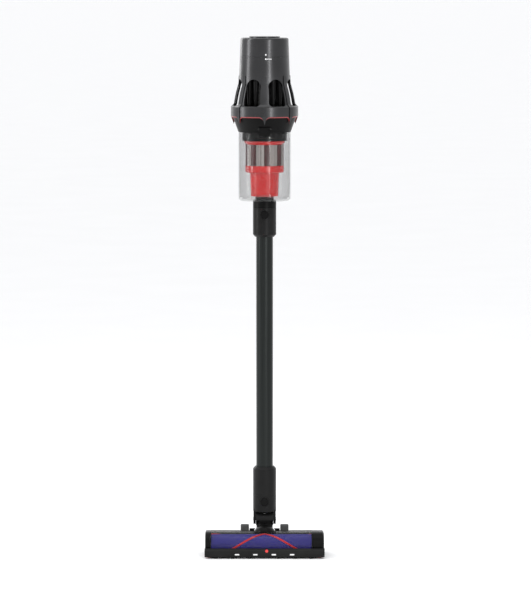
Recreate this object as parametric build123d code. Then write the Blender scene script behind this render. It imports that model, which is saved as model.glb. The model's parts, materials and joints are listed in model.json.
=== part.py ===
from build123d import *
import os
import math

# Frame: millimetres, +Z up, front is -Y, X = 0 is the middle plane, floor at Z = 0.

# main axes
wand_y = 20.0
body_y = -63.0
tilt_z = 70.0
swivel_z = 38.0
roller_y = -48.0
roller_z = 25.0

# floor head
roller_left = -117.0
roller_right = 103.0
pile_r = 22.0
strip_r = 23.6
strip_pieces = 12
strip_twist = 1.54
strip_lean = 32
strip_wide = 4.6
core_r = 17.0
chamber_r = 25.5
window_wall = 2.0
side_wall = 3.5
head_left = -129.0
head_right = 129.0
chassis_back = 3.0
cover_split_z = 44.0
rear_bar_z = 48.0
sole_z = 3.0
bumper_front = -92.0
bumper_back = -80.0
bumper_top = 22.0
bumper_half = 130.0
foot_xs = [-105.0, -69.0, -32.5, 31.5, 67.0, 102.5]
light_xs = [-59.5, -20.0, 20.0, 59.5]
light_z = 9.5
light_wide = 9.4
light_tall = 3.0
motor_y = -9.0
motor_z = 27.0
motor_r = 9.0

# wheels
wheel_r = 29.0
wheel_in = 34.3
wheel_out = 52.6
axle_r = 4.0

# swivel and neck
elbow_r = 18.0
elbow_wall = 2.5
elbow_bend = 24.0
socket_r = 24.0
barrel_r = 14.0
barrel_half = 19.0
pin_r = 4.0
ear_in = 19.4
ear_out = 24.5
ear_r = 11.5
neck_bottom = 84.6
neck_top = 124.0
collar_r = 25.3
button_r = 9.3
neck_button_z = 111.0

# wand
spigot_r = 17.8
bore_r = 18.0
spigot_in_r = 15.0
wand_tube_r = 18.3
wand_tube_wall = 1.6
lower_collar_top = 187.0
upper_collar_bottom = 691.0
upper_collar_top = 753.5
wand_button_z = 740.0

# inlet tube behind the bin
nozzle_top = 772.0
inlet_r = 20.0
inlet_wall = 2.5
inlet_top = 956.0

# bin and shroud
bin_r = 55.8
bin_wall = 2.0
bin_bottom = 784.0
bin_top = 922.6
door_bottom = 776.0
hinge_y = -9.2
hinge_z = 780.2
shroud_bottom = 785.0
shroud_collar_bottom = 836.0
mesh_bottom = 851.0
mesh_top = 896.0
mesh_r = 39.6
post_count = 8
post_turn = 8.0

# cyclone base, cover and cones
base_top = 960.0
skirt_r = 71.6
skirt_low = 957.0
skirt_high = 977.0
tip_z = 937.0
cover_top = 1083.6
cover_wall = 2.5
ridge_high = 1.6
ridge_wide = 9.0
arch_count = 7
arch_low = 979.0
arch_high = 1036.0
arch_wide = 39.0
cone_count = 14
cone_ring_r = 41.5
cone_top_z = 1036.0

# motor, filter and cap
motor_case_r = 27.0
motor_case_low = 1041.0
motor_case_high = 1098.0
cap_low = 1084.0
cap_high = 1124.0
cap_low_r = 52.7
cap_high_r = 51.3
cap_wall = 2.2
disc_high = 1127.0
disc_r = 33.0

# grip, trigger and battery
grip_z = 1022.0
grip_end = 94.0
battery_back = 136.2
battery_half = 39.0
battery_low = 930.0
battery_high = 1048.0

fit = 0.3


def rod_x(r, x0, x1, y, z):
    return Pos((x0 + x1) / 2, y, z) * Rot(0, 90, 0) * Cylinder(r, x1 - x0)


def rod_y(r, y0, y1, x, z):
    return Pos(x, (y0 + y1) / 2, z) * Rot(90, 0, 0) * Cylinder(r, y1 - y0)


def rod_z(r, z0, z1, x, y):
    return Pos(x, y, (z0 + z1) / 2) * Cylinder(r, z1 - z0)


def block(x0, x1, y0, y1, z0, z1):
    return Pos((x0 + x1) / 2, (y0 + y1) / 2, (z0 + z1) / 2) * Box(x1 - x0, y1 - y0, z1 - z0)


def turned(outline, y):
    """Solid of revolution about the upright axis at y, from (radius, z) corners."""
    wire = Polyline(*[(r, 0, z) for r, z in outline], close=True)
    return Pos(0, y, 0) * revolve(make_face(wire), Axis.Z)


def turned_pipe(r_out, r_in, z0, z1, y):
    return rod_z(r_out, z0, z1, 0, y) - rod_z(r_in, z0 - 1, z1 + 1, 0, y)


# ---- floor head ----

def head_side():
    """Side outline of the head: round over the roller, flat at the back, low at the front."""
    window_r = chamber_r + window_wall
    outline = Line((chassis_back, sole_z), (chassis_back, rear_bar_z - 3))
    outline += Line(outline @ 1, (chassis_back - 3, rear_bar_z))
    outline += Line(outline @ 1, (roller_y + 14, rear_bar_z + 0.8))
    outline += ThreePointArc(outline @ 1, (roller_y, roller_z + window_r), (roller_y - 20, roller_z + 18.9))
    outline += ThreePointArc(outline @ 1, (roller_y - 26.6, roller_z + 7), (roller_y - 27.4, bumper_top - 1))
    outline += Line(outline @ 1, (bumper_back + 0.2, bumper_top - 4))
    outline += Line(outline @ 1, (bumper_back + 0.2, sole_z))
    outline += Line(outline @ 1, (chassis_back, sole_z))
    return make_face(outline)


def head_slab(x0, x1):
    """The side outline, extruded from x0 to x1."""
    slab = extrude(Plane.YZ * head_side(), x1 - x0)
    return Pos(x0, 0, 0) * slab


def motor_pocket():
    return rod_x(motor_r + fit, 56, roller_right - 2, motor_y, motor_z)


def wheel_wells():
    left = rod_x(wheel_r + 1.5, -wheel_out - 1, -wheel_in + 0.8, wand_y, wheel_r)
    return left + rod_x(wheel_r + 1.5, wheel_in - 0.8, wheel_out + 1, wand_y, wheel_r)


def make_head_chassis():
    rear = block(roller_left - side_wall, roller_right + side_wall, -27, chassis_back, sole_z, cover_split_z)
    rail = block(roller_left - side_wall, roller_right + side_wall, bumper_back, -66, 4, 19)
    left = head_slab(roller_left - 3.5, roller_left - 0.5)
    right = head_slab(roller_right + 0.5, roller_right + side_wall)
    collar = rod_y(socket_r, -26, chassis_back, 0, swivel_z)
    collar -= block(-30, 30, -40, -2, cover_split_z, 80)
    plate = block(-33, 33, -2, chassis_back, sole_z, 52)
    chassis = rear + rail + collar + plate
    chassis -= rod_x(chamber_r, -200, 200, roller_y, roller_z)
    chassis += left + right
    chassis -= rod_y(elbow_r + fit, -14, 10, 0, swivel_z)
    chassis -= rod_y(15, -40, 10, 0, swivel_z)
    for side in (-1, 1):
        arm = block(min(side * 26.5, side * 33), max(side * 26.5, side * 33), 0, 30, 20, 38)
        arm = fillet(arm.edges().filter_by(Axis.X).group_by(Axis.Y)[-1], 8)
        chassis += arm
        chassis -= rod_x(axle_r, min(side * 26, side * 34), max(side * 26, side * 34), wand_y, wheel_r)
    chassis -= rod_y(elbow_r + 6.8, -4.5, 10, 0, swivel_z)
    chassis -= motor_pocket() + wheel_wells()
    chassis -= rod_x(4.3, roller_right - 3, roller_right + 5, motor_y, motor_z)
    chassis -= rod_x(5.2, roller_right, roller_right + 5, roller_y, roller_z)
    chassis -= rod_x(5.2, roller_left - 5, roller_left, roller_y, roller_z)
    return chassis


def make_head_rear_cover():
    lid = block(roller_left - 0.4, roller_right + 0.4, -29, chassis_back, cover_split_z, rear_bar_z)
    lid = fillet(lid.edges().filter_by(Axis.X).group_by(Axis.Z)[-1], 1.8)
    half = Line((0, -2), (socket_r, -2))
    half += Line(half @ 1, (socket_r, -14))
    half += ThreePointArc(half @ 1, (socket_r * 0.76, -30), (0, -37))
    half += Line(half @ 1, (0, -2))
    dome = revolve(make_face(half), Axis.Y)
    dome = Pos(0, 0, swivel_z) * dome
    dome -= block(-60, 60, -60, 20, 0, cover_split_z)
    cover = lid + dome
    cover -= rod_x(chamber_r + window_wall + 0.2, -200, 200, roller_y, roller_z)
    cover -= rod_y(elbow_r + fit, -14, 10, 0, swivel_z)
    cover -= rod_y(15, -25, 10, 0, swivel_z)
    cover -= block(-33.2, 33.2, -2, 20, 0, 80)
    cover -= rod_y(elbow_r + 6.8, -4.5, 10, 0, swivel_z)
    cover -= wheel_wells()
    return cover


def make_roller_window():
    outer = rod_x(chamber_r + window_wall, roller_left - 0.4, roller_right + 0.4, roller_y, roller_z)
    inner = rod_x(chamber_r, roller_left - 1, roller_right + 1, roller_y, roller_z)
    front = block(-200, 200, -100, roller_y, bumper_top, 80)
    back = block(-200, 200, roller_y, -29.2, cover_split_z, 80)
    window = (outer - inner) & (front + back)
    return window


def make_front_bumper():
    outline = Line((bumper_back, 3.6), (bumper_back, bumper_top - 0.5))
    outline += Line(outline @ 1, (bumper_back - 2, bumper_top - 0.5))
    outline += ThreePointArc(outline @ 1, (-89.2, 16.8), (bumper_front, 9))
    outline += Line(outline @ 1, (bumper_front, 5.5))
    outline += ThreePointArc(outline @ 1, (-91.2, 4.2), (-89.4, 3.6))
    outline += Line(outline @ 1, (bumper_back, 3.6))
    bar = Pos(-bumper_half, 0, 0) * extrude(Plane.YZ * make_face(outline), 2 * bumper_half)
    for x in light_xs:
        half = light_wide / 2
        bar -= block(x - half, x + half, -94, -89, light_z - light_tall / 2, light_z + light_tall / 2)
    bar -= rod_y(3.3, -95, -86, 4.6, 17)
    return bar


def make_light_lenses():
    lenses = []
    for x in light_xs:
        half = light_wide / 2
        low = light_z - light_tall / 2
        lens = block(x - half, x + half, bumper_front + 0.4, -89, low, low + light_tall)
        lenses.append(lens)
    return Compound(children=lenses)


def make_bumper_stud():
    return rod_y(3.3, -90.5, -86, 4.6, 17)


def make_glide_feet():
    feet = []
    for x in foot_xs:
        foot = Pos(x, -86, 1.8) * Box(7, 5.5, 3.6)
        foot = fillet(foot.edges().filter_by(Axis.Y).group_by(Axis.Z)[0], 1.6)
        feet.append(foot)
    return Compound(children=feet)


def make_end_cap_left():
    cap = head_slab(head_left, roller_left - side_wall)
    cap = chamfer(cap.faces().sort_by(Axis.X)[0].edges(), 1.5)
    return cap - rod_x(5.2, roller_left - 8, roller_left, roller_y, roller_z)


def make_end_cap_right():
    start = roller_right + side_wall
    cap = head_slab(start, head_right)
    cap = chamfer(cap.faces().sort_by(Axis.X)[-1].edges(), 3)
    room = rod_x(20, start, head_right - 4, roller_y, roller_z)
    room += block(start, head_right - 4, roller_y, motor_y, roller_z - 12, roller_z + 14)
    room += rod_x(12, start, head_right - 4, motor_y, motor_z)
    room &= block(start, head_right, -100, 1, 5, 60)
    return cap - room


def make_sole_strips():
    strips = []
    for x in (-122, 119):
        strips.append(block(x - 4, x + 4, -76, -10, 1.2, sole_z))
    return Compound(children=strips)


def make_brush_motor():
    can = rod_x(motor_r, 57, roller_right - 3, motor_y, motor_z)
    can += rod_x(4, roller_right - 3, roller_right + 3, motor_y, motor_z)
    return can + rod_x(2, roller_right + 3, roller_right + 16, motor_y, motor_z)


def make_motor_pulley():
    wheel = rod_x(5, roller_right + 7, roller_right + 15, motor_y, motor_z)
    return wheel - rod_x(2.05, roller_right + 6, roller_right + 17, motor_y, motor_z)


def make_drive_belt():
    """Belt round both pulleys, with straight tangent runs between the two round ends."""
    lean = math.degrees(math.atan2(motor_z - roller_z, motor_y - roller_y))
    gap = math.hypot(motor_y - roller_y, motor_z - roller_z)

    def loop(big, small):
        open_angle = math.acos((big - small) / gap)
        points = []
        for base_r, x in ((big, 0), (small, gap)):
            points.append((x + base_r * math.cos(open_angle), base_r * math.sin(open_angle)))
        top_big, top_small = points
        path = Line(top_big, top_small)
        path += ThreePointArc(top_small, (gap + small, 0), (top_small[0], -top_small[1]))
        path += Line((top_small[0], -top_small[1]), (top_big[0], -top_big[1]))
        path += ThreePointArc((top_big[0], -top_big[1]), (-big, 0), top_big)
        return make_face(path)

    band = loop(12.8, 6.6) - loop(11.3, 5.1)
    band = Rot(0, 0, lean) * band
    belt = extrude(Plane.YZ * band, 6)
    return Pos(roller_right + 8, roller_y, roller_z) * belt


def make_brush_core():
    core = rod_x(core_r, roller_left + 1, roller_right - 1, roller_y, roller_z)
    core += rod_x(5, roller_left - 6, roller_right + 16, roller_y, roller_z)
    return core


def make_roller_pulley():
    wheel = rod_x(11, roller_right + 7, roller_right + 15, roller_y, roller_z)
    return wheel - rod_x(5, roller_right + 6, roller_right + 17, roller_y, roller_z)


def make_brush_strips():
    """Two spiral strips, half a turn apart, that meet in a chevron at the middle."""
    ring = rod_x(strip_r, roller_left + 1, roller_right - 1, roller_y, roller_z)
    ring -= rod_x(pile_r, roller_left, roller_right, roller_y, roller_z)
    strips = Part()
    for start in (90, 270):
        for side in (-1, 1):
            length = roller_right - 1 if side > 0 else -roller_left - 1
            run = length / strip_pieces
            for n in range(strip_pieces):
                spin = start + (n + 0.5) * run * strip_twist
                rib = Rot(0, 0, -side * strip_lean) * Box(run * 1.3, strip_wide, 6)
                rib = Pos(side * (n + 0.5) * run, 0, strip_r - 2) * rib
                strips += Pos(0, roller_y, roller_z) * Rot(spin - 90, 0, 0) * rib
    return ring & strips


def make_brush_pile():
    pile = rod_x(pile_r, roller_left + 1, roller_right - 1, roller_y, roller_z)
    return pile - rod_x(core_r, roller_left, roller_right, roller_y, roller_z)


def make_wheel_hub(side):
    ends = sorted((side * wheel_in, side * wheel_out))
    hub = rod_x(wheel_r - 5, ends[0] + 0.5, ends[1] - 0.5, wand_y, wheel_r)
    hub = fillet(hub.edges().filter_by(GeomType.CIRCLE), 1.5)
    return hub - rod_x(axle_r + 0.06, ends[0], ends[1] - 0.5, wand_y, wheel_r)


def make_wheel_tyre(side):
    ends = sorted((side * wheel_in, side * wheel_out))
    tyre = rod_x(wheel_r, ends[0], ends[1], wand_y, wheel_r)
    tyre = fillet(tyre.edges().filter_by(GeomType.CIRCLE), 2.5)
    return tyre - rod_x(wheel_r - 5, ends[0] - 1, ends[1] + 1, wand_y, wheel_r)


def make_wheel_axles():
    stubs = []
    for side in (-1, 1):
        ends = sorted((side * 26, side * (wheel_out - 2)))
        stubs.append(rod_x(axle_r, ends[0], ends[1], wand_y, wheel_r))
    return Compound(children=stubs)


# ---- swivel and neck ----

def make_swivel_elbow():
    path = Line((0, -13, swivel_z), (0, -4, swivel_z))
    bend_mid = elbow_bend * math.sin(math.radians(45))
    path += ThreePointArc(
        (0, -4, swivel_z),
        (0, -4 + bend_mid, swivel_z + elbow_bend - bend_mid),
        (0, wand_y, swivel_z + elbow_bend))
    start = Plane(origin=(0, -13, swivel_z), z_dir=(0, 1, 0))
    outer = sweep(start * Circle(elbow_r), path=path)
    inner = sweep(start * Circle(elbow_r - elbow_wall), path=path)
    top = swivel_z + elbow_bend
    post = rod_z(elbow_r, top - 0.5, tilt_z, 0, wand_y)
    post &= block(-30, 30, wand_y - barrel_r, wand_y + barrel_r, top - 1, tilt_z)
    elbow = outer + post + rod_x(barrel_r, -barrel_half, barrel_half, wand_y, tilt_z)
    elbow -= inner
    elbow -= rod_z(11, top - 1, 90, 0, wand_y)
    elbow -= rod_x(pin_r, -30, -13, wand_y, tilt_z) + rod_x(pin_r, 13, 30, wand_y, tilt_z)
    return elbow


def make_tilt_pins():
    return Compound(children=[
        rod_x(pin_r, -25.2, -13, wand_y, tilt_z),
        rod_x(pin_r, 13, 25.2, wand_y, tilt_z)])


def make_neck_socket():
    neck = turned([
        (12, neck_bottom), (18.7, neck_bottom), (collar_r, 88.5), (collar_r, neck_top),
        (12, neck_top)], wand_y)
    for side in (-1, 1):
        ends = sorted((side * ear_in, side * ear_out))
        neck += block(ends[0], ends[1], wand_y - ear_r, wand_y + ear_r, tilt_z, 92)
        neck += rod_x(ear_r, ends[0], ends[1], wand_y, tilt_z)
        neck -= rod_x(pin_r + 0.06, side * 22 - 4, side * 22 + 4, wand_y, tilt_z)
    shield = rod_x(barrel_r + 4, -ear_in, ear_in, wand_y, tilt_z)
    neck += shield & block(-30, 30, wand_y - 30, wand_y, tilt_z - 1, 90)
    neck -= rod_x(barrel_r + 0.5, -ear_in, ear_in, wand_y, tilt_z)
    neck -= rod_z(12, 70, 130, 0, wand_y)
    neck -= rod_z(bore_r, 96, 130, 0, wand_y)
    neck -= rod_y(button_r + 0.4, wand_y - 40, wand_y - bore_r - 2, 0, neck_button_z)
    return neck


def make_round_button(z):
    button = rod_y(button_r, wand_y - collar_r - 1.2, wand_y - bore_r - 3.4, 0, z)
    return fillet(button.edges().filter_by(GeomType.CIRCLE).group_by(Axis.Y)[0], 1)


# ---- wand ----

def make_wand_tube():
    return turned_pipe(wand_tube_r, wand_tube_r - wand_tube_wall, 150, 712, wand_y)


def make_wand_bottom_collar():
    collar = turned([
        (spigot_in_r, 97), (spigot_r, 97), (spigot_r, neck_top + 0.2), (collar_r, neck_top + 0.2),
        (collar_r, lower_collar_top - 5), (21, lower_collar_top), (spigot_in_r, lower_collar_top)], wand_y)
    return collar - rod_z(wand_tube_r, 150, 200, 0, wand_y)


def make_wand_top_collar():
    collar = turned([
        (16.7, upper_collar_bottom), (21, upper_collar_bottom), (collar_r, upper_collar_bottom + 5),
        (collar_r, upper_collar_top), (16.7, upper_collar_top)], wand_y)
    collar -= rod_z(wand_tube_r, 600, 712, 0, wand_y)
    collar -= rod_z(bore_r, 712, 760, 0, wand_y)
    return collar - rod_y(button_r + 0.4, wand_y - 40, wand_y - bore_r - 2, 0, wand_button_z)


# ---- main unit ----

def make_inlet_tube():
    tube = turned([
        (spigot_in_r, 714), (spigot_r, 714), (spigot_r, upper_collar_top + 0.2),
        (collar_r, upper_collar_top + 0.2), (collar_r, nozzle_top - 2), (collar_r - 2, nozzle_top),
        (inlet_r, nozzle_top + 1), (inlet_r, inlet_top - 8), (inlet_r - 6, inlet_top), (0, inlet_top),
        (0, inlet_top - 4), (spigot_in_r, inlet_top - 9)], wand_y)
    return tube - block(-9, 9, -10, wand_y - 12, 930, 944)


def base_flare():
    return turned([
        (0, 904), (47.8, 904), (47.8, bin_top + fit), (bin_r + 0.5, bin_top + fit),
        (68.3, 956), (68.3, base_top), (0, base_top)], body_y)


def make_cyclone_base():
    base = base_flare()
    base -= turned([
        (30, 900), (44.8, 908), (44.8, 926), (52.8, 926), (63.5, 953), (63.5, 956), (30, 956)], body_y)
    base -= rod_z(17.5, 900, 970, 0, body_y)
    base += block(-16, 16, -124, -113, 924, 940) & base_flare()
    base -= block(-13.4, 13.4, -130, -118.2, 915, 935)
    base -= rod_z(inlet_r + fit, 900, 970, 0, wand_y)
    return base


def cover_outline(inset):
    """Half outline of the cover wall, inset mm inside the outer face."""
    points = [
        (skirt_r - 6.4, 936), (skirt_r, skirt_low), (skirt_r, skirt_high), (69, 979), (65.2, 983),
        (63.6, 992), (61.0, 1005), (55, 1027), (53.8, 1055), (52.7, cover_top)]
    return [(r - inset, z) for r, z in points]


def cover_shell():
    inner = cover_outline(cover_wall)
    return turned(cover_outline(0) + inner[::-1], body_y)


def around(shape, spin):
    """Turn a shape about the bin's upright axis."""
    return Pos(0, body_y, 0) * Rot(0, 0, spin) * Pos(0, -body_y, 0) * shape


def arch_spins():
    step = 360 / arch_count
    return [step / 2 + step * n for n in range(arch_count)]


def scallop_cut(drop):
    """Seven rounded bites out of the lower edge, pointed ribs left between them."""
    high = skirt_low - drop
    low = tip_z - drop
    outline = Line((-20, high), (20, high))
    outline += ThreePointArc((20, high), (26, high - 3), (28.6, high - 9))
    outline += Line((28.6, high - 9), (29.6, low))
    outline += Line((29.6, low), (29.6, 920))
    outline += Line((29.6, 920), (-29.6, 920))
    outline += Line((-29.6, 920), (-29.6, low))
    outline += Line((-29.6, low), (-28.6, high - 9))
    outline += ThreePointArc((-28.6, high - 9), (-26, high - 3), (-20, high))
    bite = extrude(Plane.XZ * make_face(outline), 60)
    bite = Pos(0, body_y - 40, 0) * bite
    cut = Part()
    for spin in arch_spins():
        cut += around(bite, spin)
    return cut


def arch_cut():
    half = arch_wide / 2
    bend = 7.0
    outline = Line((bend - half, arch_low), (half - bend, arch_low))
    outline += ThreePointArc((half - bend, arch_low), (half - 2, arch_low + 2), (half, arch_low + bend))
    outline += Line((half, arch_low + bend), (half - 2.5, 1016))
    outline += ThreePointArc((half - 2.5, 1016), (0, arch_high), (2.5 - half, 1016))
    outline += Line((2.5 - half, 1016), (-half, arch_low + bend))
    outline += ThreePointArc((-half, arch_low + bend), (2 - half, arch_low + 2), (bend - half, arch_low))
    hole = extrude(Plane.XZ * make_face(outline), 50)
    hole = Pos(0, body_y - 40, 0) * hole
    cut = Part()
    for spin in arch_spins():
        if abs(spin - 180) > 1:
            cut += around(hole, spin)
    return cut


def rib_ridges():
    """A raised ridge down each rib, from above the arches to the pointed tip."""
    proud = turned(cover_outline(-ridge_high) + cover_outline(0)[::-1], body_y)
    proud &= rod_z(90, 930, 1044, 0, body_y)
    ridges = Part()
    for n in range(arch_count):
        bar = Pos(0, body_y - 65, 990) * Box(ridge_wide, 40, 108)
        bar = fillet(bar.edges().filter_by(Axis.Y), ridge_wide / 2 - 0.1)
        ridges += around(bar, 360 / arch_count * n) & proud
    return ridges


def make_cyclone_cover(bites):
    cover = cover_shell() + rib_ridges() - bites - arch_cut()
    return cover - rod_z(inlet_r + 0.5, 900, 965, 0, wand_y)


def make_trim_line(bites):
    low_wall = cover_shell() & rod_z(90, 930, skirt_low + 2, 0, body_y)
    trim = (low_wall & bites) - scallop_cut(2.2)
    trim -= rod_z(90, 900, 936.1, 0, body_y)
    return trim - rod_z(inlet_r + 0.5, 900, 965, 0, wand_y)


def make_cyclone_cones():
    cones = rod_z(50.8, cone_top_z, 1040, 0, body_y) - rod_z(21, 1030, 1045, 0, body_y)
    for n in range(cone_count):
        spin = math.radians(360 / cone_count * (n + 0.5))
        x = cone_ring_r * math.cos(spin)
        y = body_y + cone_ring_r * math.sin(spin)
        height = cone_top_z - base_top - 1
        cones += Pos(x, y, base_top + 1 + height / 2) * Cone(3, 6.6, height)
    return cones


def make_centre_duct():
    return turned_pipe(17.2, 14.8, 897, 1036, body_y) + turned_pipe(20.5, 14.8, 1030, 1040, body_y)


def make_motor_case():
    case = turned_pipe(motor_case_r, motor_case_r - 2, motor_case_low, motor_case_high, body_y)
    floor = turned_pipe(motor_case_r, 12, motor_case_low, motor_case_low + 2, body_y)
    lid = turned_pipe(motor_case_r, 8, motor_case_high - 2, motor_case_high, body_y)
    return case + floor + lid


def make_motor_windings():
    return turned_pipe(motor_case_r - 2, 14, 1066, 1092, body_y)


def make_impeller():
    wheel = rod_z(3, 1047, 1096, 0, body_y) + rod_z(20, 1047, 1049, 0, body_y)
    wheel += rod_z(11, 1070, 1088, 0, body_y)
    wheel += turned([(0, 1049), (9, 1049), (4, 1060), (0, 1060)], body_y)
    for n in range(9):
        blade = Pos(11, 0, 1052.5) * Box(16, 1.2, 8)
        wheel += Pos(0, body_y, 0) * Rot(0, 0, 40 * n) * blade
    return wheel


def make_shroud_top_ring():
    return turned([(32, mesh_top), (39.5, mesh_top), (44, 900), (44, 903.8), (32, 903.8)], body_y)


def make_shroud_mesh():
    return turned_pipe(mesh_r, mesh_r - 1, mesh_bottom, mesh_top, body_y)


def make_shroud_posts():
    ring = turned_pipe(mesh_r + 1.2, mesh_r, mesh_bottom, mesh_top, body_y)
    posts = []
    for n in range(post_count):
        wedge = block(-6.5, 6.5, body_y - 60, body_y - 20, 800, 1000)
        posts.append(ring & around(wedge, post_turn + 45 * n))
    return Compound(children=posts)


def make_shroud_skirt():
    return turned([
        (39, mesh_bottom), (41.8, mesh_bottom), (41.8, 838), (40, shroud_collar_bottom), (31.5, 835),
        (29.6, shroud_bottom), (27.2, shroud_bottom), (28.8, 838), (38, 841)], body_y)


# ---- bin ----

def make_bin_cup():
    cup = turned([
        (bin_r - bin_wall, bin_bottom + 8), (bin_r - 4, bin_bottom), (bin_r, bin_bottom),
        (bin_r, bin_top), (bin_r - bin_wall, bin_top)], body_y)
    cup -= block(-14, 14, -14, -4, 770, bin_bottom + 1)
    for x in (-17, 17):
        lug = block(x - 2.5, x + 2.5, -13, -6.5, 777, bin_bottom + 1)
        cup += lug
        cup -= rod_x(1.5, x - 3, x + 3, hinge_y, hinge_z)
    return cup


def make_bin_hinge_pin():
    return rod_x(1.5, -19.5, 19.5, hinge_y, hinge_z)


def make_bin_door():
    door = turned([
        (0, door_bottom), (bin_r - 4, door_bottom), (bin_r - 0.4, door_bottom + 3),
        (bin_r - 0.4, bin_bottom - fit), (bin_r - 8, bin_bottom - fit),
        (bin_r - 8, door_bottom + 3), (0, door_bottom + 3)], body_y)
    door -= block(-60, 60, -15.5, 10, 770, 790)
    door += block(-12.5, 12.5, -20, hinge_y, hinge_z - 2.2, hinge_z + 2.2)
    door += rod_x(3.2, -13.5, 13.5, hinge_y, hinge_z)
    return door - rod_x(1.56, -30, 30, hinge_y, hinge_z)


def make_door_catch():
    front = block(-18, 18, -130, -100, door_bottom + 1, 791)
    front = fillet(front.edges().filter_by(Axis.Y), 3)
    return turned_pipe(bin_r + 2.6, bin_r, 770, 800, body_y) & front


def make_bin_latch():
    latch = block(-12.8, 12.8, -126.4, -119.6, 916.5, 933.5)
    latch = fillet(latch.edges().filter_by(Axis.Y), 1.2)
    return latch - rod_x(1.06, -20, 20, -122.6, 930.5)


def make_latch_pin():
    return rod_x(1, -13.4, 13.4, -122.6, 930.5)


# ---- filter and cap ----

def make_filter_element():
    return turned_pipe(47.5, 33, 1060, 1118, body_y)


def make_filter_cap():
    cap = turned([
        (cap_low_r, cap_low), (cap_high_r + 0.1, cap_high - 3.5), (cap_high_r - 0.9, cap_high - 1),
        (cap_high_r - 3.4, cap_high), (0, cap_high), (0, cap_high - cap_wall),
        (cap_high_r - 4, cap_high - cap_wall), (cap_low_r - cap_wall, cap_low)], body_y)
    return cap


def make_cap_disc():
    disc = rod_z(disc_r, cap_high, disc_high, 0, body_y)
    return fillet(disc.edges().filter_by(GeomType.CIRCLE).group_by(Axis.Z)[-1], 1)


# ---- grip, trigger and battery ----

def grip_body(inset):
    """Lofted handle, inset mm inside its outer face."""
    sections = []
    for y, wide, tall in ((-14, 42, 52), (40, 34, 41), (grip_end - inset / 2, 44, 48)):
        plane = Plane(origin=(0, y, grip_z), x_dir=(1, 0, 0), z_dir=(0, 1, 0))
        radius = 15 - inset
        sections.append(plane * RectangleRounded(wide - 2 * inset, tall - 2 * inset, radius))
    return loft(sections)


def make_grip(side):
    grip = grip_body(0) - grip_body(3)
    grip -= turned([(0, 930)] + cover_outline(-fit) + [(0, cover_top)], body_y)
    grip -= block(-6.6, 6.6, 16, 36, 990, 1006)
    half = block(0, 60, -60, 120, 900, 1100) if side > 0 else block(-60, 0, -60, 120, 900, 1100)
    return grip & half


def make_trigger():
    trigger = block(-6, 6, 18, 34, 984, 1004)
    trigger = fillet(trigger.edges().filter_by(Axis.X).group_by(Axis.Z)[0], 4)
    return trigger + block(-6, 6, 17, 35, 1004.6, 1008) + block(-5, 5, 19, 33, 1003, 1005)


def make_trigger_spring():
    return turned_pipe(4, 2.5, 1008, 1020, 26)


def make_control_board():
    return block(-13, 13, 14, 82, 1020, 1021.6)


def make_battery_case():
    case = block(-battery_half, battery_half, grip_end + fit, battery_back, battery_low, battery_high)
    case = fillet(case.edges().filter_by(Axis.Y), 9)
    case = fillet(case.faces().sort_by(Axis.Y)[-1].edges(), 4)
    case -= block(-30, 30, 100, 131, 940, 1036)
    return case - block(-5, 5, 105, 121, battery_low - 1, battery_low + 12)


def make_battery_cells():
    cells = []
    for x in (-20.5, 0, 20.5):
        for z in (952, 974, 996, 1018):
            cells.append(Pos(x, 115.5, z) * Rot(90, 0, 0) * Cylinder(9.1, 29))
    return Compound(children=cells)


def make_charge_socket():
    return block(-5, 5, 105, 121, battery_low + 1, battery_low + 6)


def save(shape, name):
    export_step(shape, os.path.join("parts", name + ".step"))
    print(name)


os.makedirs("parts", exist_ok=True)
bites = scallop_cut(0)
save(make_head_chassis(), "head_chassis")
save(make_head_rear_cover(), "head_rear_cover")
save(make_roller_window(), "roller_window")
save(make_front_bumper(), "front_bumper")
save(make_light_lenses(), "light_lenses")
save(make_bumper_stud(), "bumper_stud")
save(make_glide_feet(), "glide_feet")
save(make_end_cap_left(), "end_cap_left")
save(make_end_cap_right(), "end_cap_right")
save(make_sole_strips(), "sole_strips")
save(make_brush_motor(), "brush_motor")
save(make_motor_pulley(), "motor_pulley")
save(make_drive_belt(), "drive_belt")
save(make_brush_core(), "brush_core")
save(make_roller_pulley(), "roller_pulley")
save(make_brush_pile(), "brush_pile")
save(make_brush_strips(), "brush_strips")
save(make_wheel_hub(-1), "wheel_hub_left")
save(make_wheel_hub(1), "wheel_hub_right")
save(make_wheel_tyre(-1), "wheel_tyre_left")
save(make_wheel_tyre(1), "wheel_tyre_right")
save(make_wheel_axles(), "wheel_axles")
save(make_swivel_elbow(), "swivel_elbow")
save(make_tilt_pins(), "tilt_pins")
save(make_neck_socket(), "neck_socket")
save(make_round_button(neck_button_z), "neck_button")
save(make_wand_tube(), "wand_tube")
save(make_wand_bottom_collar(), "wand_bottom_collar")
save(make_wand_top_collar(), "wand_top_collar")
save(make_round_button(wand_button_z), "wand_button")
save(make_inlet_tube(), "inlet_tube")
save(make_cyclone_base(), "cyclone_base")
save(make_cyclone_cover(bites), "cyclone_cover")
save(make_trim_line(bites), "trim_line")
save(make_cyclone_cones(), "cyclone_cones")
save(make_centre_duct(), "centre_duct")
save(make_motor_case(), "motor_case")
save(make_motor_windings(), "motor_windings")
save(make_impeller(), "impeller")
save(make_shroud_top_ring(), "shroud_top_ring")
save(make_shroud_mesh(), "shroud_mesh")
save(make_shroud_posts(), "shroud_posts")
save(make_shroud_skirt(), "shroud_skirt")
save(make_bin_cup(), "bin_cup")
save(make_bin_hinge_pin(), "bin_hinge_pin")
save(make_bin_door(), "bin_door")
save(make_door_catch(), "door_catch")
save(make_bin_latch(), "bin_latch")
save(make_latch_pin(), "latch_pin")
save(make_filter_element(), "filter_element")
save(make_filter_cap(), "filter_cap")
save(make_cap_disc(), "cap_disc")
save(make_grip(-1), "grip_left")
save(make_grip(1), "grip_right")
save(make_trigger(), "trigger")
save(make_trigger_spring(), "trigger_spring")
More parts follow.
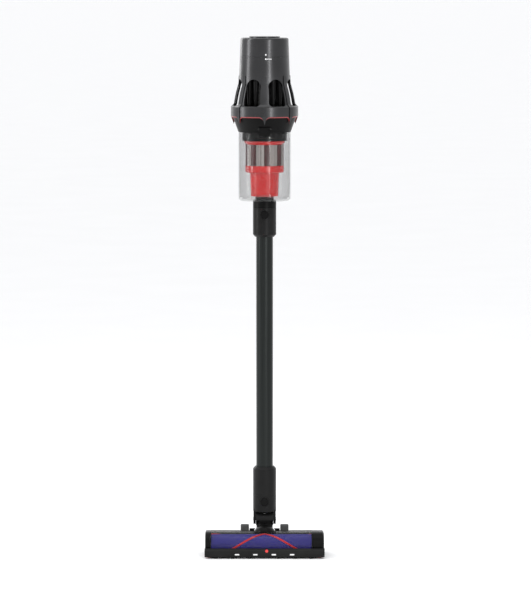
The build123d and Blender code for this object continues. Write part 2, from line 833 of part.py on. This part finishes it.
save(make_control_board(), "control_board")
save(make_battery_case(), "battery_case")
save(make_battery_cells(), "battery_cells")
save(make_charge_socket(), "charge_socket")
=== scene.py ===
import math
import json
import bpy
import bmesh
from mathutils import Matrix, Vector


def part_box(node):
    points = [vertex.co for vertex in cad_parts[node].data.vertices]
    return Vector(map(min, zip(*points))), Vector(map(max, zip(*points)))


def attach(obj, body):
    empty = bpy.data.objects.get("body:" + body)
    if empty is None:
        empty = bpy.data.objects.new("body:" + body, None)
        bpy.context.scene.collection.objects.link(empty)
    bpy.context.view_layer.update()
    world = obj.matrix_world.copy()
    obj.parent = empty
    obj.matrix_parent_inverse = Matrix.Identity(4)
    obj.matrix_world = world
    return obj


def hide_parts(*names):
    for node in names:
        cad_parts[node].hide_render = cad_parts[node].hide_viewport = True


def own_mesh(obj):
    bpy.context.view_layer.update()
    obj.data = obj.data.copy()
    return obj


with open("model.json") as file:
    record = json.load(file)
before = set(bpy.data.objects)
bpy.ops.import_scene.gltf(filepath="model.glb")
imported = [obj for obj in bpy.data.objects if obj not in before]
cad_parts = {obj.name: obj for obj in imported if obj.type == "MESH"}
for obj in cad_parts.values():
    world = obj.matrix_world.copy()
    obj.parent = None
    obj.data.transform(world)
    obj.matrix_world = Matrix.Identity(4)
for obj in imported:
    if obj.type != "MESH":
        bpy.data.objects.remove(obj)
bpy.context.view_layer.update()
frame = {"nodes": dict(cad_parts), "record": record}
print("frame loaded:", len(frame["nodes"]), "nodes")


# shared finishes: dark and light ends of the base colour, then how the surface takes light

finishes = {
    "black": {"dark": 0.0022, "light": 0.0040, "rough": 0.32, "gloss": 0.09},
    "grey": {"dark": 0.0048, "light": 0.0080, "rough": 0.36, "gloss": 0.14},
    "trim": {"dark": (0.16, 0.014, 0.016), "light": (0.24, 0.022, 0.024), "rough": 0.30},
    "red": {"dark": (0.52, 0.010, 0.010), "light": (0.68, 0.018, 0.016), "rough": 0.24},
    # the posts are the same red plastic as the shroud; this darker red is painted shade, for the
    # posts sitting in shadow behind the mesh
    "redInShade": {"dark": (0.045, 0.006, 0.007), "light": (0.075, 0.011, 0.012), "rough": 0.32},
    "board": {"dark": (0.006, 0.060, 0.025), "light": (0.010, 0.100, 0.042), "rough": 0.40},
    "cell": {"dark": (0.020, 0.110, 0.180), "light": (0.030, 0.160, 0.250), "rough": 0.30},
    "lens": {"dark": 0.74, "light": 0.86, "rough": 0.35},
    "cover": {
        "dark": (0.024, 0.024, 0.025), "light": (0.036, 0.036, 0.038), "metal": 0.85,
        "flakeScale": 2600, "flakeShare": 0.8, "coat": 0.3, "coatRough": 0.2},
    "tube": {
        "dark": (0.012, 0.014, 0.0135), "light": (0.019, 0.022, 0.021), "metal": 0.8,
        "drawn": (1400, 1400, 6)},
    "steel": {"light": (0.55, 0.55, 0.55), "drawn": (40, 900, 900)},
    "copper": {"light": (0.72, 0.33, 0.16), "drawn": (60, 60, 2200)},
    "rubber": {"dark": 0.012, "light": 0.024},
    "clear": {"face": 0.13, "edge": 0.96, "dark": 0.02, "rough": 0.05, "gloss": 0.55},
    "sheet": {
        # hole colour is painted shade: the dark inside seen through the holes, with the rim grading
        # out of it
        "hole": (0.020, 0.012, 0.012), "rim": (0.46, 0.42, 0.40), "flat": (0.60, 0.56, 0.54),
        "holeScale": 620, "stray": 0.12},
    "pile": {"dark": (0.010, 0.008, 0.10), "light": (0.045, 0.036, 0.34), "scale": 900},
    "bristle": {"dark": (0.42, 0.006, 0.010), "light": (0.80, 0.022, 0.030), "scale": 1500},
    "cloth": {"dark": (0.62, 0.60, 0.56), "light": (0.80, 0.79, 0.76), "scale": 700},
}


# small helpers for shader graphs

def startMaterial(name):
    mat = bpy.data.materials.new(name)
    mat.use_nodes = True
    graph = mat.node_tree
    graph.nodes.clear()
    out = graph.nodes.new("ShaderNodeOutputMaterial")
    shader = graph.nodes.new("ShaderNodeBsdfPrincipled")
    graph.links.new(shader.outputs[0], out.inputs["Surface"])
    return mat, graph, shader


def objectCoords(graph, stretch=(1, 1, 1)):
    coord = graph.nodes.new("ShaderNodeTexCoord")
    mapping = graph.nodes.new("ShaderNodeMapping")
    mapping.inputs["Scale"].default_value = stretch
    graph.links.new(coord.outputs["Object"], mapping.inputs["Vector"])
    return mapping.outputs[0]


def noise(graph, where, scale, detail=4, rough=0.5):
    node = graph.nodes.new("ShaderNodeTexNoise")
    node.inputs["Scale"].default_value = scale
    node.inputs["Detail"].default_value = detail
    node.inputs["Roughness"].default_value = rough
    graph.links.new(where, node.inputs["Vector"])
    return node.outputs["Fac"]


# a plain number in a stop stands for that grey
def ramp(graph, fac, stops):
    node = graph.nodes.new("ShaderNodeValToRGB")
    parts = node.color_ramp.elements
    while len(parts) < len(stops):
        parts.new(0.5)
    for part, (at, colour) in zip(parts, stops):
        part.position = at
        part.color = (*colour, 1) if isinstance(colour, tuple) else (colour, colour, colour, 1)
    graph.links.new(fac, node.inputs["Fac"])
    return node.outputs["Color"]


def drive(graph, shader, socket, fac, stops):
    graph.links.new(ramp(graph, fac, stops), shader.inputs[socket])


def bump(graph, shader, height, strength, distance):
    node = graph.nodes.new("ShaderNodeBump")
    node.inputs["Strength"].default_value = strength
    node.inputs["Distance"].default_value = distance
    graph.links.new(height, node.inputs["Height"])
    graph.links.new(node.outputs[0], shader.inputs["Normal"])


# fine spark-eroded grain, faint mottling, and a little gloss variation
def mouldedPlastic(name, key, bumpy=0.12, coat=0.0):
    look = finishes[key]
    rough = look["rough"]
    mat, graph, shader = startMaterial(name)
    where = objectCoords(graph)
    mottled = noise(graph, where, 28, 5)
    worn = noise(graph, where, 90, 3)
    drive(graph, shader, "Base Color", mottled, [(0.35, look["dark"]), (0.68, look["light"])])
    drive(graph, shader, "Roughness", worn, [(0.3, rough - 0.05), (0.7, rough + 0.06)])
    bump(graph, shader, noise(graph, where, 1800, 2), bumpy, 0.0002)
    shader.inputs["Specular IOR Level"].default_value = look.get("gloss", 0.5)
    if coat:
        shader.inputs["Coat Weight"].default_value = coat
        shader.inputs["Coat Roughness"].default_value = 0.12
    return mat


# satin metallic paint: tiny flakes that catch the light over a slow tone change
def coverLook():
    mat, graph, shader = startMaterial("coverSatin")
    look = finishes["cover"]
    where = objectCoords(graph)
    flake = graph.nodes.new("ShaderNodeTexVoronoi")
    flake.inputs["Scale"].default_value = look["flakeScale"]
    graph.links.new(where, flake.inputs["Vector"])
    tone = ramp(graph, noise(graph, where, 14, 3), [(0.35, look["dark"]), (0.7, look["light"])])
    sparkle = ramp(graph, flake.outputs["Distance"], [(0.0, 1.5), (0.35, 1.0), (0.8, 0.85)])
    mix = graph.nodes.new("ShaderNodeMix")
    mix.data_type = "RGBA"
    mix.blend_type = "MULTIPLY"
    mix.inputs["Factor"].default_value = look["flakeShare"]
    graph.links.new(tone, mix.inputs[6])
    graph.links.new(sparkle, mix.inputs[7])
    graph.links.new(mix.outputs[2], shader.inputs["Base Color"])
    drive(graph, shader, "Roughness", noise(graph, where, 70, 3), [(0.3, 0.27), (0.7, 0.36)])
    shader.inputs["Metallic"].default_value = look["metal"]
    shader.inputs["Coat Weight"].default_value = look["coat"]
    shader.inputs["Coat Roughness"].default_value = look["coatRough"]
    bump(graph, shader, flake.outputs["Distance"], 0.06, 0.0001)
    return mat


# anodised tube with very fine lines drawn along it
def tubeLook():
    mat, graph, shader = startMaterial("tubeCharcoal")
    look = finishes["tube"]
    lines = noise(graph, objectCoords(graph, look["drawn"]), 1, 3, 0.6)
    drive(graph, shader, "Base Color", lines, [(0.3, look["dark"]), (0.7, look["light"])])
    drive(graph, shader, "Roughness", lines, [(0.3, 0.26), (0.7, 0.36)])
    shader.inputs["Metallic"].default_value = look["metal"]
    bump(graph, shader, lines, 0.08, 0.0001)
    return mat


def turnedMetal(name, key):
    mat, graph, shader = startMaterial(name)
    look = finishes[key]
    lines = noise(graph, objectCoords(graph, look["drawn"]), 1, 4, 0.6)
    dull = tuple(c * 0.78 for c in look["light"])
    drive(graph, shader, "Base Color", lines, [(0.25, dull), (0.75, look["light"])])
    drive(graph, shader, "Roughness", lines, [(0.25, 0.22), (0.75, 0.34)])
    shader.inputs["Metallic"].default_value = 1.0
    bump(graph, shader, lines, 0.06, 0.0001)
    return mat


def rubberLook():
    mat, graph, shader = startMaterial("rubber")
    look = finishes["rubber"]
    where = objectCoords(graph)
    tone = noise(graph, where, 40, 6)
    drive(graph, shader, "Base Color", tone, [(0.35, look["dark"]), (0.7, look["light"])])
    drive(graph, shader, "Roughness", noise(graph, where, 120, 3), [(0.3, 0.62), (0.7, 0.78)])
    bump(graph, shader, noise(graph, where, 2400, 3), 0.3, 0.0002)
    return mat


# clear moulded plastic: nearly invisible face on, darker where it curves away
def clearLook():
    mat, graph, shader = startMaterial("clearPlastic")
    look = finishes["clear"]
    face, edge, dark, rough = look["face"], look["edge"], look["dark"], look["rough"]
    scuffs = noise(graph, objectCoords(graph, (60, 60, 900)), 1, 5, 0.7)
    tone = noise(graph, objectCoords(graph), 20, 2)
    drive(graph, shader, "Base Color", tone, [(0.3, dark), (0.7, dark * 1.6)])
    drive(graph, shader, "Roughness", scuffs, [(0.45, rough), (0.75, rough + 0.07)])
    turnedAway = graph.nodes.new("ShaderNodeLayerWeight")
    turnedAway.inputs["Blend"].default_value = 0.35
    drive(graph, shader, "Alpha", turnedAway.outputs["Facing"],
          [(0.0, face), (0.55, face * 1.5), (0.86, edge * 0.45), (0.96, edge)])
    shader.inputs["Specular IOR Level"].default_value = look["gloss"]
    mat.blend_method = "BLEND"
    return mat


# perforated steel: staggered round holes in a thin sheet, not cut through but painted near-black as
# the shade inside each hole, fading out across the rim
def meshSheetLook():
    mat, graph, shader = startMaterial("perforatedSheet")
    look = finishes["sheet"]
    coord = graph.nodes.new("ShaderNodeTexCoord")
    centre = graph.nodes.new("ShaderNodeVectorMath")
    centre.operation = "SUBTRACT"
    centre.inputs[1].default_value = centreOf("shroud_mesh")
    graph.links.new(coord.outputs["Object"], centre.inputs[0])
    cells = graph.nodes.new("ShaderNodeTexVoronoi")
    cells.inputs["Scale"].default_value = look["holeScale"]
    cells.inputs["Randomness"].default_value = look["stray"]
    graph.links.new(centre.outputs[0], cells.inputs["Vector"])
    fromHole = cells.outputs["Distance"]
    # painted shade in each hole, fading out across the rim to the bright flat
    drive(graph, shader, "Base Color", fromHole,
          [(0.30, look["hole"]), (0.42, look["rim"]), (0.8, look["flat"])])
    drive(graph, shader, "Roughness", fromHole, [(0.3, 0.7), (0.45, 0.28)])
    drive(graph, shader, "Metallic", fromHole, [(0.32, 0.0), (0.42, 1.0)])
    bump(graph, shader, ramp(graph, fromHole, [(0.3, 0.0), (0.45, 1.0)]), 0.6, 0.0003)
    return mat


def fabricLook(name, key):
    mat, graph, shader = startMaterial(name)
    look = finishes[key]
    where = objectCoords(graph)
    patch = noise(graph, where, look["scale"], 6, 0.7)
    drive(graph, shader, "Base Color", patch, [(0.32, look["dark"]), (0.66, look["light"])])
    drive(graph, shader, "Roughness", noise(graph, where, 120, 2), [(0.3, 0.75), (0.7, 0.92)])
    shader.inputs["Sheen Weight"].default_value = 0.6
    shader.inputs["Sheen Roughness"].default_value = 0.45
    shader.inputs["Sheen Tint"].default_value = (*[min(1, c * 3 + 0.1) for c in look["light"]], 1)
    bump(graph, shader, patch, 0.5, 0.0006)
    return mat


def centreOf(node):
    low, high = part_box(node)
    return (Vector(low) + Vector(high)) / 2


looks = {
    "black_plastic": mouldedPlastic("blackPlastic", "black"),
    "grey_plastic": mouldedPlastic("greyPlastic", "grey"),
    "cover_grey": coverLook(),
    "trim_red": mouldedPlastic("trimRed", "trim", bumpy=0.05, coat=0.3),
    "shroud_red": mouldedPlastic("shroudRed", "red", bumpy=0.04, coat=0.5),
    "mesh_steel": meshSheetLook(),
    # posts: the shroud's red darkened as painted shade, not a different plastic
    "post_maroon": mouldedPlastic("postMaroon", "redInShade"),
    "clear_plastic": clearLook(),
    "tube_charcoal": tubeLook(),
    "steel": turnedMetal("turnedSteel", "steel"),
    "rubber": rubberLook(),
    "pile_violet": fabricLook("pileViolet", "pile"),
    "strip_red": fabricLook("stripRed", "bristle"),
    "lens_white": mouldedPlastic("lensWhite", "lens", bumpy=0.03, coat=0.4),
    "copper": turnedMetal("windingCopper", "copper"),
    "board_green": mouldedPlastic("boardGreen", "board", coat=0.4),
    "filter_cloth": fabricLook("filterCloth", "cloth"),
    "cell_wrap": mouldedPlastic("cellWrap", "cell", bumpy=0.03, coat=0.4),
}

slotOf = {part["node"]: part["material_slot"] for part in frame["record"]["subparts"]}
for node, obj in frame["nodes"].items():
    finish = looks[slotOf[node]]
    if obj.material_slots:
        for held in obj.material_slots:
            held.material = finish
    else:
        obj.data.materials.append(finish)
print("finishes on", len(slotOf), "nodes")


# mesh helpers

def newPiece(name, bm, body, mat, smooth=True):
    mesh = bpy.data.meshes.new(name)
    bmesh.ops.recalc_face_normals(bm, faces=bm.faces)
    bm.to_mesh(mesh)
    bm.free()
    if smooth:
        for face in mesh.polygons:
            face.use_smooth = True
    obj = bpy.data.objects.new(name, mesh)
    bpy.context.scene.collection.objects.link(obj)
    mesh.materials.append(mat)
    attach(obj, body)
    return obj


# repeatable value from 0 to 1 for a pair of whole numbers
def hashNoise(a, b):
    value = math.sin(a * 127.1 + b * 311.7) * 43758.5453
    return value - math.floor(value)


# a point at an angle round the roller's axle
def onCircle(x, mid, radius, angle):
    return (x, mid.y + radius * math.cos(angle), mid.z + radius * math.sin(angle))


# roller pile: a nap of soft tufts

rollerPile = {"tuftsAlong": 330, "tuftsRound": 200, "napDepth": 0.0009}


def buildPile():
    low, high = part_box("brush_pile")
    mid = centreOf("brush_pile")
    outer = (high[2] - low[2]) / 2
    along, aroundCount = rollerPile["tuftsAlong"], rollerPile["tuftsRound"]
    bm = bmesh.new()
    rings = []
    for i in range(along + 1):
        x = low[0] + (high[0] - low[0]) * i / along
        ring = []
        for j in range(aroundCount):
            angle = 2 * math.pi * (j + 0.5 * (i % 2)) / aroundCount
            radius = outer - rollerPile["napDepth"] * hashNoise(i, j)
            ring.append(bm.verts.new(onCircle(x, mid, radius, angle)))
        rings.append(ring)
    for i in range(along):
        for j in range(aroundCount):
            k = (j + 1) % aroundCount
            bm.faces.new((rings[i][j], rings[i + 1][j], rings[i + 1][k], rings[i][k]))
    for ring, x in ((rings[0], low[0]), (rings[-1], high[0])):
        hub = bm.verts.new((x, mid.y, mid.z))
        for j in range(aroundCount):
            bm.faces.new((ring[j], ring[(j + 1) % aroundCount], hub))
    piece = newPiece("rollerNap", bm, "roller", looks["pile_violet"], smooth=False)
    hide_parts("brush_pile")
    return piece


bristleStrip = {
    "twistPerMm": 1.54, "width": 0.0046, "tuftEvery": 0.0011, "lift": 0.0016,
    "sunk": 0.001, "ragged": 0.0004, "crown": 0.0004}


# two spiral rows of bristle tufts, half a turn apart, meeting in a chevron
def buildStrips():
    low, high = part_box("brush_strips")
    mid = centreOf("brush_pile")
    top = (high[2] - low[2]) / 2
    base = top - bristleStrip["lift"] - bristleStrip["sunk"]
    bm = bmesh.new()
    half = bristleStrip["width"] / 2
    for start in (90, 270):
        for side, reach in ((-1, -low[0]), (1, high[0])):
            count = int(reach / bristleStrip["tuftEvery"])
            previous = None
            for n in range(count + 1):
                x = reach * n / count
                turn = math.radians(start + x * 1000 * bristleStrip["twistPerMm"])
                ring = []
                ragged = bristleStrip["ragged"] * hashNoise(n, start + side)
                for across in (-1, -0.5, 0, 0.5, 1):
                    offset = across * half / top
                    height = top - ragged - bristleStrip["crown"] * across * across
                    a = turn + offset
                    ring.append(onCircle(side * x, mid, height, a))
                ring.insert(0, onCircle(side * x, mid, base, turn - half / top))
                ring.append(onCircle(side * x, mid, base, turn + half / top))
                verts = [bm.verts.new(p) for p in ring]
                if previous:
                    for k in range(len(verts)):
                        m = (k + 1) % len(verts)
                        bm.faces.new((previous[k], verts[k], verts[m], previous[m]))
                else:
                    bm.faces.new(verts)
                previous = verts
            bm.faces.new(previous)
    piece = newPiece("bristleStrips", bm, "roller", looks["strip_red"], smooth=False)
    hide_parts("brush_strips")
    return piece


buildPile()
buildStrips()
print("roller pile and strips")


# pleated filter under the cap

filterPleats = {"count": 64, "depth": 0.0060, "thick": 0.0145, "rim": 0.003, "step": 0.0001}


def buildFilter():
    low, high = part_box("filter_element")
    mid = centreOf("filter_element")
    outer = (high[0] - low[0]) / 2
    inner = outer - filterPleats["thick"]
    rim, step = filterPleats["rim"], filterPleats["step"]
    bm = bmesh.new()
    loops = []
    count = filterPleats["count"] * 4
    levels = [
        (low[2], 0), (low[2] + rim, 0), (low[2] + rim + step, 1),
        (high[2] - rim - step, 1), (high[2] - rim, 0), (high[2], 0)]
    for z, pleated in levels:
        loop = []
        for j in range(count):
            a = 2 * math.pi * j / count
            fold = (0, 0.7, 1, 0.7)[j % 4] if pleated else 0
            r = outer - filterPleats["depth"] * fold
            loop.append(bm.verts.new((mid.x + r * math.cos(a), mid.y + r * math.sin(a), z)))
        loops.append(loop)
    for z in (high[2], low[2]):
        loop = []
        for j in range(count):
            a = 2 * math.pi * j / count
            loop.append(bm.verts.new((mid.x + inner * math.cos(a), mid.y + inner * math.sin(a), z)))
        loops.append(loop)
    for i in range(len(loops)):
        here, there = loops[i], loops[(i + 1) % len(loops)]
        for j in range(count):
            k = (j + 1) % count
            bm.faces.new((here[j], here[k], there[k], there[j]))
    piece = newPiece("pleatedFilter", bm, "filter", looks["filter_cloth"], smooth=False)
    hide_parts("filter_element")


buildFilter()
print("filter")


# coil spring behind the trigger

coil = {"turns": 6, "wire": 0.0005, "squeezed": 0.64}


def buildSpring():
    low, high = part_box("trigger_spring")
    mid = centreOf("trigger_spring")
    radius = (high[0] - low[0]) / 2 - coil["wire"]
    curve = bpy.data.curves.new("triggerCoil", "CURVE")
    curve.dimensions = "3D"
    curve.bevel_depth = coil["wire"]
    curve.bevel_resolution = 2
    spline = curve.splines.new("POLY")
    steps = coil["turns"] * 16
    spline.points.add(steps)
    for n in range(steps + 1):
        a = 2 * math.pi * n / 16
        z = low[2] + coil["wire"] + (high[2] - low[2] - 2 * coil["wire"]) * n / steps
        spline.points[n].co = (mid.x + radius * math.cos(a), mid.y + radius * math.sin(a), z, 1)
    wound = bpy.data.objects.new("coilPath", curve)
    bpy.context.scene.collection.objects.link(wound)
    bpy.context.view_layer.update()
    graph = bpy.context.evaluated_depsgraph_get()
    mesh = bpy.data.meshes.new_from_object(wound.evaluated_get(graph))
    bpy.data.objects.remove(wound)
    obj = bpy.data.objects.new("triggerCoil", mesh)
    bpy.context.scene.collection.objects.link(obj)
    mesh.materials.clear()
    mesh.materials.append(looks["steel"])
    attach(obj, "main_unit")
    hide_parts("trigger_spring")
    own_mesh(obj)


buildSpring()
print("trigger spring")


# small printed marks on the cap and the cover

marks = {
    "dot": 0.0032, "barLong": 0.01045, "barTall": 0.0014, "proud": 0.00025, "sunk": 0.0004,
    "fromSeam": 0.0045, "dotAngle": -87, "barAngle": -79, "barCorner": 0.4}


# a thin rounded tab that follows a turned wall, at an angle and height
def wallPatch(bm, radiusAt, centreY, spin, z, wide, tall, proud, roundness=1.0):
    grid = []
    for side in (0, 1):
        ring = []
        for n in range(24):
            a = 2 * math.pi * n / 24
            dx = wide / 2 * math.copysign(abs(math.cos(a)) ** roundness, math.cos(a))
            dz = tall / 2 * math.copysign(abs(math.sin(a)) ** roundness, math.sin(a))
            r = radiusAt(z + dz) + (proud if side else -marks["sunk"])
            turn = math.radians(spin) + dx / r
            ring.append(bm.verts.new((r * math.cos(turn), centreY + r * math.sin(turn), z + dz)))
        grid.append(ring)
    for n in range(24):
        k = (n + 1) % 24
        bm.faces.new((grid[0][n], grid[0][k], grid[1][k], grid[1][n]))
    bm.faces.new(grid[1])
    bm.faces.new(grid[0][::-1])


def capRadius(z):
    low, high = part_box("filter_cap")
    lowR, highR = (high[0] - low[0]) / 2, (high[0] - low[0]) / 2 - 0.0013
    return lowR + (highR - lowR) * (z - low[2]) / (high[2] - low[2] - 0.0035)


# one raised rib with round ends and a softened top
def slotRib(bm, at, along, out, length, width, height):
    across = out.cross(along)
    half = (length - width) / 2
    rings = []
    for inset, lift in ((0, -0.0003), (0, height * 0.6), (width * 0.18, height)):
        ring = []
        for end, start in ((1, -90), (-1, 90)):
            for n in range(7):
                a = math.radians(start + 30 * n)
                reach = end * half + (width / 2 - inset) * math.cos(a)
                side = (width / 2 - inset) * math.sin(a)
                ring.append(bm.verts.new(at + along * reach + across * side + out * lift))
        rings.append(ring)
    for low, high in zip(rings, rings[1:]):
        for n in range(len(low)):
            k = (n + 1) % len(low)
            bm.faces.new((low[n], low[k], high[k], high[n]))
    bm.faces.new(rings[-1])
    bm.faces.new(rings[0][::-1])


batteryRibs = {"count": 6, "length": 0.044, "width": 0.0028, "height": 0.0009, "gap": 0.0068}


def buildBatteryRibs():
    low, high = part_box("battery_case")
    mid = centreOf("battery_case")
    bm = bmesh.new()
    for n in range(batteryRibs["count"]):
        z = mid.z + batteryRibs["gap"] * (n - (batteryRibs["count"] - 1) / 2)
        slotRib(bm, Vector((mid.x, high[1], z)), Vector((1, 0, 0)), Vector((0, 1, 0)),
                batteryRibs["length"], batteryRibs["width"], batteryRibs["height"])
    newPiece("batteryRibs", bm, "battery", looks["black_plastic"], smooth=False)


wheelSpokes = {"count": 6, "length": 0.013, "width": 0.0030, "height": 0.0007, "middle": 0.0135}


def buildSpokes(side):
    low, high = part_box("wheel_hub_" + side)
    mid = centreOf("wheel_hub_" + side)
    outward = -1 if side == "left" else 1
    face = low[0] if side == "left" else high[0]
    bm = bmesh.new()
    for n in range(wheelSpokes["count"]):
        a = 2 * math.pi * n / wheelSpokes["count"]
        along = Vector((0, math.cos(a), math.sin(a)))
        at = Vector((face, mid.y, mid.z)) + along * wheelSpokes["middle"]
        slotRib(bm, at, along, Vector((outward, 0, 0)),
                wheelSpokes["length"], wheelSpokes["width"], wheelSpokes["height"])
    newPiece("wheelSpokes_" + side, bm, "wheel_" + side,
             looks["grey_plastic"], smooth=False)


buildBatteryRibs()
buildSpokes("left")
buildSpokes("right")
print("ribs on the battery and wheels")


bodyAxisY = centreOf("filter_cap").y
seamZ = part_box("filter_cap")[0][2]
markLook = mouldedPlastic("markWhite", "lens", bumpy=0.02)

dotAngle, dot, proud = marks["dotAngle"], marks["dot"], marks["proud"]
bm = bmesh.new()
wallPatch(bm, capRadius, bodyAxisY, dotAngle, seamZ + marks["fromSeam"], dot, dot, proud)
newPiece("capMark", bm, "filter_cap", markLook)
bm = bmesh.new()
wallPatch(bm, capRadius, bodyAxisY, dotAngle, seamZ - marks["fromSeam"], dot, dot, proud)
wallPatch(bm, capRadius, bodyAxisY, marks["barAngle"], seamZ - marks["fromSeam"],
          marks["barLong"], marks["barTall"], proud, marks["barCorner"])
newPiece("coverMarks", bm, "main_unit", markLook)
print("marks")


# floor, light and camera

studio = {
    "floorTone": (0.90, 0.90, 0.905),
    "floorReach": 300,
    "worldTone": (0.985, 0.99, 1.0),
    "worldPower": 1.08,
    "cameraAt": (0.002, -7.20, 1.254),
    "downward": 5.552,
    "lens": 199.6,
    "seeTo": 700,
    "lightsLookAt": (0, -0.05, 0.65),
}

floorMat, graph, shader = startMaterial("floorPaper")
where = objectCoords(graph)
tone = studio["floorTone"]
worn = tuple(c * 0.985 for c in tone)
drive(graph, shader, "Base Color", noise(graph, where, 3, 3), [(0.3, worn), (0.7, tone)])
shader.inputs["Roughness"].default_value = 0.7
bm = bmesh.new()
bmesh.ops.create_grid(bm, x_segments=8, y_segments=8, size=studio["floorReach"])
floorMesh = bpy.data.meshes.new("floor")
bm.to_mesh(floorMesh)
bm.free()
floorMesh.materials.append(floorMat)
floor = bpy.data.objects.new("floor", floorMesh)
bpy.context.scene.collection.objects.link(floor)

bpy.context.scene.view_settings.view_transform = "Standard"
world = bpy.data.worlds.new("studioAir")
bpy.context.scene.world = world
world.use_nodes = True
air = world.node_tree.nodes["Background"]
air.inputs[0].default_value = (*studio["worldTone"], 1)
air.inputs[1].default_value = studio["worldPower"]

softBoxes = [
    {"name": "keyLeft", "at": (-2.7, -0.5, 1.6), "size": (0.6, 2.4), "power": 38},
    {"name": "stripRight", "at": (1.15, -2.8, 1.5), "size": (0.3, 2.2), "power": 34},
    {"name": "topSoft", "at": (0.0, -0.6, 3.2), "size": (2.4, 1.6), "power": 14},
    {"name": "backRim", "at": (-1.6, 2.2, 1.9), "size": (0.8, 2.0), "power": 14},
]
for boxData in softBoxes:
    light = bpy.data.lights.new(boxData["name"], "AREA")
    light.shape = "RECTANGLE"
    light.size, light.size_y = boxData["size"]
    light.energy = boxData["power"]
    lamp = bpy.data.objects.new(boxData["name"], light)
    lamp.location = boxData["at"]
    aim = Vector(studio["lightsLookAt"]) - Vector(boxData["at"])
    lamp.rotation_euler = aim.to_track_quat("-Z", "Y").to_euler()
    bpy.context.scene.collection.objects.link(lamp)

cameraData = bpy.data.cameras.new("camera")
cameraData.lens = studio["lens"]
cameraData.clip_end = studio["seeTo"]
camera = bpy.data.objects.new("camera", cameraData)
camera.location = studio["cameraAt"]
camera.rotation_euler = (math.radians(90 - studio["downward"]), 0, 0)
bpy.context.scene.collection.objects.link(camera)
bpy.context.scene.camera = camera
print("studio ready")
